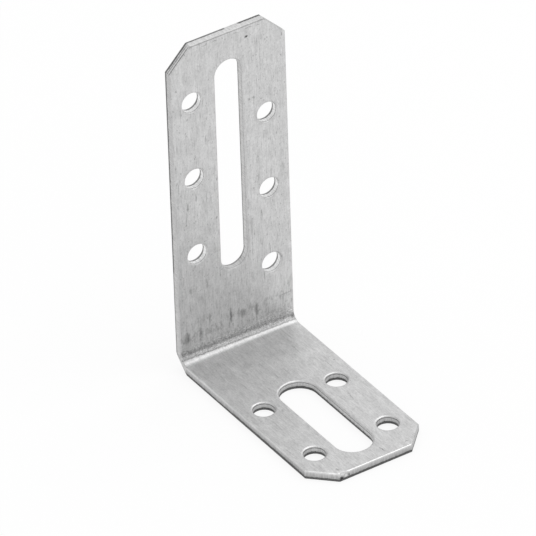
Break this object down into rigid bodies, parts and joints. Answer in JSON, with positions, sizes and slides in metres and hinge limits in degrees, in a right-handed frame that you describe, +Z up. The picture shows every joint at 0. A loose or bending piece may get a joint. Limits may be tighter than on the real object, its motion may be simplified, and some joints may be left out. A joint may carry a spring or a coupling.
{
  "type": "adjustable angle bracket",
  "caption": "Galvanised steel strip folded to a right angle, with an adjustment slot and nail holes in each leg, for fixing a batten or frame to a wall or floor.",
  "frame": {"origin": "centre of the bounding box's bottom face: the underside of the base leg is at Z = 0, and the part is centred on X and Y", "axes": "+X across the strip, -Y along the base leg to its free end, +Z up the upright; the upright's outer face looks to +Y"},
  "size_m": [0.03, 0.0564, 0.084],
  "materials": {
    "galvanised_steel": "zinc coated steel strip, matt with fine rolling marks along the strip, bright at the rolled rims and dark at the torn edge"
  },
  "bodies": {
    "root": {"angle_plate": "galvanised_steel"}
  },
  "joints": []
}
